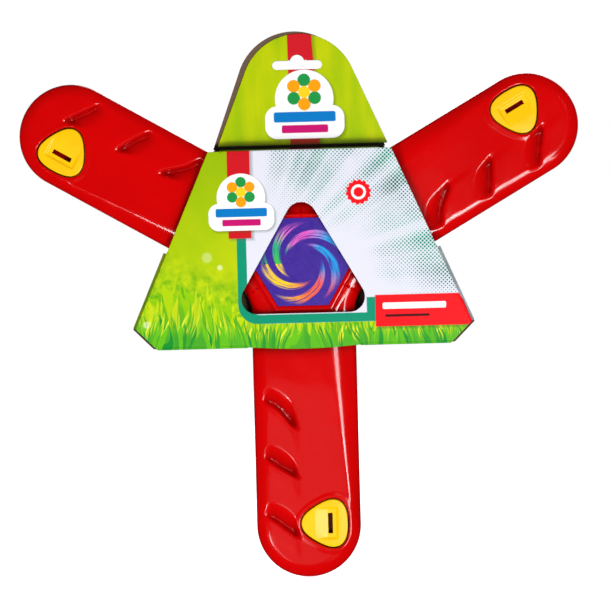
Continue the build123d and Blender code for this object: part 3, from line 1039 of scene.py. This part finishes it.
def inset_polygon(points, k):
    """A closed counter-clockwise polyline moved inwards by k (outwards if negative)."""
    behind = left_of(unit(points - np.roll(points, 1, 0)))
    ahead = left_of(unit(np.roll(points, -1, 0) - points))
    bisect = behind + ahead
    return points + bisect * (k * (1.0 / np.maximum((bisect**2).sum(1), 0.6)))[:, None]


def polygon_distance(points, x, y):
    """Signed distance to a closed polyline, positive inside."""
    best = np.full(x.shape, 1e9)
    inside = np.zeros(x.shape, bool)
    for (ax, ay), (bx, by) in zip(points, np.roll(points, -1, 0)):
        ex, ey = bx - ax, by - ay
        t = np.clip(((x - ax) * ex + (y - ay) * ey) / (ex * ex + ey * ey), 0, 1)
        best = np.minimum(best, np.hypot(x - ax - t * ex, y - ay - t * ey))
        crosses = (ay > y) != (by > y)
        with np.errstate(divide="ignore", invalid="ignore"):
            at = ax + (y - ay) * ex / ey
        inside ^= crosses & (x < at)
    return np.where(inside, best, -best)


SAME_POINT = 0.02


def path(*pieces):
    """Joins point lists into one closed array without repeats."""
    out = []
    for q in itertools.chain(*pieces):
        if not out or math.dist(q, out[-1]) > SAME_POINT:
            out.append(tuple(q))
    if math.dist(out[0], out[-1]) < SAME_POINT:
        out.pop()
    return np.array(out)


def line(a, b, step=2.5):
    n = max(1, round(math.dist(a, b) / step))
    return [(a[0] + (b[0] - a[0]) * i / n, a[1] + (b[1] - a[1]) * i / n) for i in range(n + 1)]


def arc(cx, cy, r, start, end, count=14):
    turns = np.radians(np.linspace(start, end, count))
    return [(cx + r * math.cos(t), cy + r * math.sin(t)) for t in turns]


_, SHOULDER_HALF, PANEL_Z0, PANEL_Z1 = spans("front_panel")
PANEL_TOP_HALF = 57.9
CORNER_CUT = 13.0
BOTTOM_Z = spans("bottom_wall_right")[2]
SHOULDER_Z = BOTTOM_Z + CORNER_CUT
SIDE_SLOPE = (SHOULDER_HALF - PANEL_TOP_HALF) / (PANEL_Z1 - SHOULDER_Z)
BACK_HALF = spans("back_panel")[1]
SIDE_FLARE = BACK_HALF - SHOULDER_HALF
SIDE_TOP_Z = spans("side_wall_right")[3]
HEADER_PEAK = spans("header_front_ply")[3]


def panel_outline(flare, top_z, top_half, bow):
    """Trapezium with slightly rounded corners and cut lower corners, counter-clockwise."""
    shoulder = SHOULDER_HALF + flare
    bottom = shoulder - CORNER_CUT
    foot = [(x, BOTTOM_Z - bow * math.cos(math.pi * x / 70.0)) for x in np.linspace(-35, 35, 25)]
    r = 0.8
    right = [
        line(foot[-1], (bottom - r, BOTTOM_Z)),
        [(bottom - 0.25 * r, BOTTOM_Z + 0.15 * r)],
        line((bottom + 0.7 * r, BOTTOM_Z + 0.7 * r), (shoulder - 0.7 * r, SHOULDER_Z - 0.7 * r)),
        [(shoulder - 0.05, SHOULDER_Z)],
        line((shoulder - 0.4 * r, SHOULDER_Z + 0.9 * r), (top_half + 0.4 * r, top_z - 0.9 * r)),
        [(top_half - 0.1, top_z - 0.1)],
    ]
    left = [[(-x, z) for x, z in reversed(piece)] for piece in reversed(right)]
    top = line((top_half - r, top_z), (r - top_half, top_z))
    return path(left.pop(), foot, *right, top, *left)


def window_outline():
    r = 9.7
    low = -32.4
    side = 92.0
    reach = side / 2 - r * math.sqrt(3)
    top = low + side * math.sqrt(3) / 2 - 2 * r
    return path(
        line((-reach, low), (reach, low)),
        arc(reach, low + r, r, -90, 30),
        arc(0, top, r, 30, 150),
        arc(-reach, low + r, r, 150, 270),
    )


def hang_outline():
    """Hang slot: a round-ended bar with a rounded hump over its middle."""
    bar = 2.85
    low = 123.3
    half = 16.0 - bar
    hump = 4.6
    top = low + 9.4
    shoulder = low + 2 * bar
    return path(
        line((-half, low), (half, low)),
        arc(half, low + bar, bar, -90, 90, 10),
        [(6.2, shoulder), (5.4, shoulder + 0.5)],
        arc(0, top - hump, hump, 10, 170, 13),
        [(-5.4, shoulder + 0.5), (-6.2, shoulder)],
        arc(-half, low + bar, bar, 90, 270, 10),
    )


def header_outline(base_z, dx, base_shift, peak_z):
    """Sides that lean in to one top arc; dx moves the arc and base_shift moves the base."""
    lean = math.radians(22.5)
    r = 37.0
    arc_z = peak_z - r
    tx = r * math.cos(lean)
    tz = arc_z + r * math.sin(lean)
    base_half = tx + (HEADER_PEAK - r + r * math.sin(lean) - base_z) * math.tan(lean)
    return path(
        line((base_shift - base_half + 0.4, base_z), (base_shift + base_half - 0.4, base_z)),
        line((base_shift + base_half, base_z + 0.4), (tx + dx, tz)),
        arc(dx, arc_z, r, 22.5, 157.5, 40),
        line((-tx + dx, tz), (base_shift - base_half, base_z + 0.4)),
    )


# ---- build ----
red = red_plastic()
yellow = yellow_plastic()
board_brown = kraft()
# a darker copy of the kraft as painted shade, for the back board inside the sleeve
shaded_inside_brown = kraft("kraft_inside_painted_shade", 30.0)
edge = board_edge()
front_print = printed("front_panel_print", panel_colour)
header_print = printed("header_print", header_colour)
label = label_print()

stands_for(front_shell(red), "upper_shell", "boomerang")
for angle, side in zip(BLADE_ANGLES, ("lower", "right", "left")):
    cap = whistle_cap("whistle_insert_" + side, angle, yellow)
    stands_for(cap, "whistle_cap_" + side, "boomerang")


def panel_bow(x, z):
    """The front panel bellies out a little over the hub and flattens at its creases."""
    across = np.clip(1 - (np.abs(x) / (PANEL_TOP_HALF + (PANEL_Z1 - z) * SIDE_SLOPE)) ** 2, 0, 1)
    up = np.clip(1 - ((z - 8.0) / 63.0) ** 2, 0, 1)
    return PANEL_FRONT + 0.5 * across * up + 0.08 * wave(x, z, 50, 11) * across


sheet_board(
    "front_board", "front_panel", "card_front", front_print,
    panel_outline(0, PANEL_Z1, PANEL_TOP_HALF, BOTTOM_Z - PANEL_Z0), [window_outline()], panel_bow,
)
BACK_TOP = spans("back_panel")[3]
sheet_board(
    "back_board", "back_panel", "card_back", shaded_inside_brown,
    panel_outline(SIDE_FLARE, BACK_TOP, 54.4, 0), [], pitch=6.0,
)
sheet_board(
    "header_front_board", "header_front_ply", "header", header_print,
    header_outline(spans("header_front_ply")[2], 1.0, 2.2, HEADER_PEAK), [hang_outline()],
)
_, REAR_HALF, REAR_BASE, REAR_PEAK = spans("header_rear_ply")
sheet_board(
    "header_rear_board", "header_rear_ply", "header", board_brown,
    header_outline(REAR_BASE, -2.2, 0.0, REAR_PEAK), [hang_outline()],
)

SIDE_COS = math.cos(math.atan(SIDE_SLOPE))
SIDE_SIN = math.sin(math.atan(SIDE_SLOPE))
bottom_print = printed("bottom_wall_print", panel_colour, (0.0, -1.0))
side_print = {
    "left": printed("left_wall_print", panel_colour, (-SIDE_COS, SIDE_SIN)),
    "right": printed("right_wall_print", panel_colour, (SIDE_COS, SIDE_SIN)),
}


def crease(name, start, end, out, flare, material):
    """Rounded fold of the card: from the panel's face, round its edge, onto the wall's outer face."""
    fold = ((-1.3, 0.06), (-0.5, 0.05), (-0.05, -0.08), (0.22, -0.35), (0.3, -0.8), (0.28, -1.4))
    section = [(o, PANEL_FRONT + rise) for o, rise in fold]
    for level in (PANEL_FRONT - 2.2, PANEL_FRONT - 3.0):
        section.append((0.16 + flare * (PANEL_REAR - level), level))
    start, end, out = (np.array(q, float) for q in (start, end, out))
    steps = 24
    points = []
    for t in np.linspace(0, 1, steps + 1):
        at = start + (end - start) * t
        points += [(at[0] + out[0] * o, level, at[1] + out[1] * o) for o, level in section]
    run = end - start
    flip = run[0] * out[1] - run[1] * out[0] < 0
    obj = make_mesh(name, points, grid_faces(steps + 1, len(section), flip), [material, edge])
    thicken(obj, 0.3, 1, 1)
    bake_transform(obj)
    return obj


side_top = PANEL_TOP_HALF + (PANEL_Z1 - SIDE_TOP_Z) * SIDE_SLOPE
side_rate = SIDE_FLARE / (PANEL_REAR - BOARD)
for sign, side in ((-1, "left"), (1, "right")):
    top_end = (sign * side_top, SIDE_TOP_Z - 0.3)
    low_end = (sign * SHOULDER_HALF, SHOULDER_Z + 0.3)
    crease("side_crease_" + side, top_end, low_end, (sign * SIDE_COS, SIDE_SIN), side_rate,
           side_print[side])
    near = (sign * 35.7, BOTTOM_Z - 0.05)
    far = (sign * (SHOULDER_HALF - CORNER_CUT - 0.3), BOTTOM_Z - 0.05)
    crease("bottom_crease_" + side, near, far, (0, -1), 0.0, bottom_print)
wall_half = spans("top_wall")[1]
crease("top_crease", (-wall_half, PANEL_Z1), (wall_half, PANEL_Z1), (0, 1), 0.16,
       front_print)


def header_crease():
    """Inner liner of the board, stretched over the fold between the back panel and the header."""
    fold_z = (BACK_TOP + REAR_BASE) / 2
    across = np.linspace(1.0 - REAR_HALF, REAR_HALF - 1.0, 25)
    up = np.linspace(fold_z - 1.5, fold_z + 1.8, 19)
    level = levels("header_rear_ply")[1] + 0.03
    points = [(x, level, z) for z in up for x in across]
    obj = make_mesh("header_crease", points, grid_faces(len(up), len(across), True), [board_brown])
    thicken(obj, 0.25)
    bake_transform(obj)


header_crease()

# CAD nodes that keep their shape
for node, material in (
    ("lower_shell", red),
    ("hub_label", label),
    ("top_wall", printed("top_wall_print_painted_shade", shaded_top_wall_colour)),
    ("side_wall_left", side_print["left"]),
    ("side_wall_right", side_print["right"]),
    ("bottom_wall_left", bottom_print),
    ("bottom_wall_right", bottom_print),
):
    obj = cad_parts[node]
    obj.data.materials.clear()
    obj.data.materials.append(material)


# ---- floor, lights, camera ----
def area_light(name, place, target, size, power, roll=0.0):
    """Rectangular light; roll turns it about its own aim, in degrees."""
    data = bpy.data.lights.new(name, "AREA")
    data.shape = "RECTANGLE"
    data.size, data.size_y = size
    data.energy = power
    obj = add_object(name, data)
    obj.location = place
    turn = (Vector(target) - Vector(place)).to_track_quat("-Z", "Y").to_matrix()
    obj.rotation_euler = (turn @ Matrix.Rotation(math.radians(roll), 3, "Z")).to_euler()
    return obj


def studio_world():
    """White to the camera, soft to matt surfaces and mostly dark in gloss reflections."""
    diffuse_light, gloss_light = 0.26, 0.018
    world = bpy.data.worlds.new("studio")
    bpy.context.scene.world = world
    world.use_nodes = True
    tree = Tree(world.node_tree)
    rays = tree.node("LightPath").outputs
    soft = Value(tree, rays["Is Glossy Ray"]) * (gloss_light - diffuse_light) + diffuse_light
    background = tree.nodes["Background"]
    tree.plug(tree.max(Value(tree, rays["Is Camera Ray"]), soft), background.inputs["Strength"])
    tree.plug((255, 255, 255), background.inputs["Color"])


def pale_floor():
    """Plain floor that is seen but neither lights nor shades the object."""
    mesh = bpy.data.meshes.new("floor")
    low = cad_box[0][2] - 0.0005
    half = 3.0
    corners = [(-half, -half, low), (half, -half, low), (half, half, low), (-half, half, low)]
    mesh.from_pydata(corners, [], [(0, 1, 2, 3)])
    floor = add_object("floor", mesh)
    art = Art("pale_floor")
    art.set(
        Base_Color=art.speckle(60, 2, (0.88, 0.88, 0.89, 1), (0.92, 0.92, 0.93, 1)), Roughness=0.9,
        Emission_Color=(255, 255, 255), Emission_Strength=0.95, Specular_IOR_Level=0.0,
    )
    mesh.materials.append(art.material)
    floor.visible_glossy = False
    floor.visible_diffuse = False
    floor.visible_shadow = False


def lights():
    """Two soft keys, small sheets that draw the gloss highlights, and a fill from behind."""
    area_light("key", (-0.72, -1.10, -0.50), (0, 0, -0.03), (0.3, 0.3), 7.7).visible_glossy = False
    area_light("second_key", (0.75, -1.10, 0.40), (0, 0, 0), (0.3, 0.3), 2.5).visible_glossy = False
    area_light("glint", (-0.40, -1.2, -0.46), (-0.05, 0, 0), (0.13, 0.10), 1.1)
    area_light("left_sheen", (-0.24, -1.4, -0.52), (0, 0, -0.1), (0.22, 0.22), 0.30)
    area_light("ridge_strip", (0.42, -1.25, -0.30), (0, 0, -0.12), (0.24, 0.56), 6.2)
    area_light("trailing_strip", (0.56, -1.2, -0.34), (0.1, 0, 0), (0.7, 0.05), 2.4, -30)
    area_light("right_sheen", (0.15, -1.5, 0.05), (0.1, 0, 0), (0.12, 0.10), 0.05)
    area_light("lower_sheen", (-0.06, -1.5, -0.30), (0, 0, -0.1), (0.26, 0.34), 0.11)
    area_light("rear_fill", (0.4, 1.3, 0.9), (0, 0, 0), (1.2, 1.0), 13)


def camera():
    """Level view from the front, rolled a little, framing about 0.39 m at the object."""
    data = bpy.data.cameras.new("camera")
    data.sensor_width = 36.0
    distance = 1.3
    frame_width = 0.3855
    data.lens = data.sensor_width * distance / frame_width
    obj = add_object("camera", data)
    obj.location = (0.00105, -distance - 0.017, -0.0274)
    obj.rotation_euler = (math.pi / 2, math.radians(1.5), 0)
    bpy.context.scene.camera = obj


pale_floor()
studio_world()
lights()
camera()
bpy.context.scene.view_settings.view_transform = "Standard"
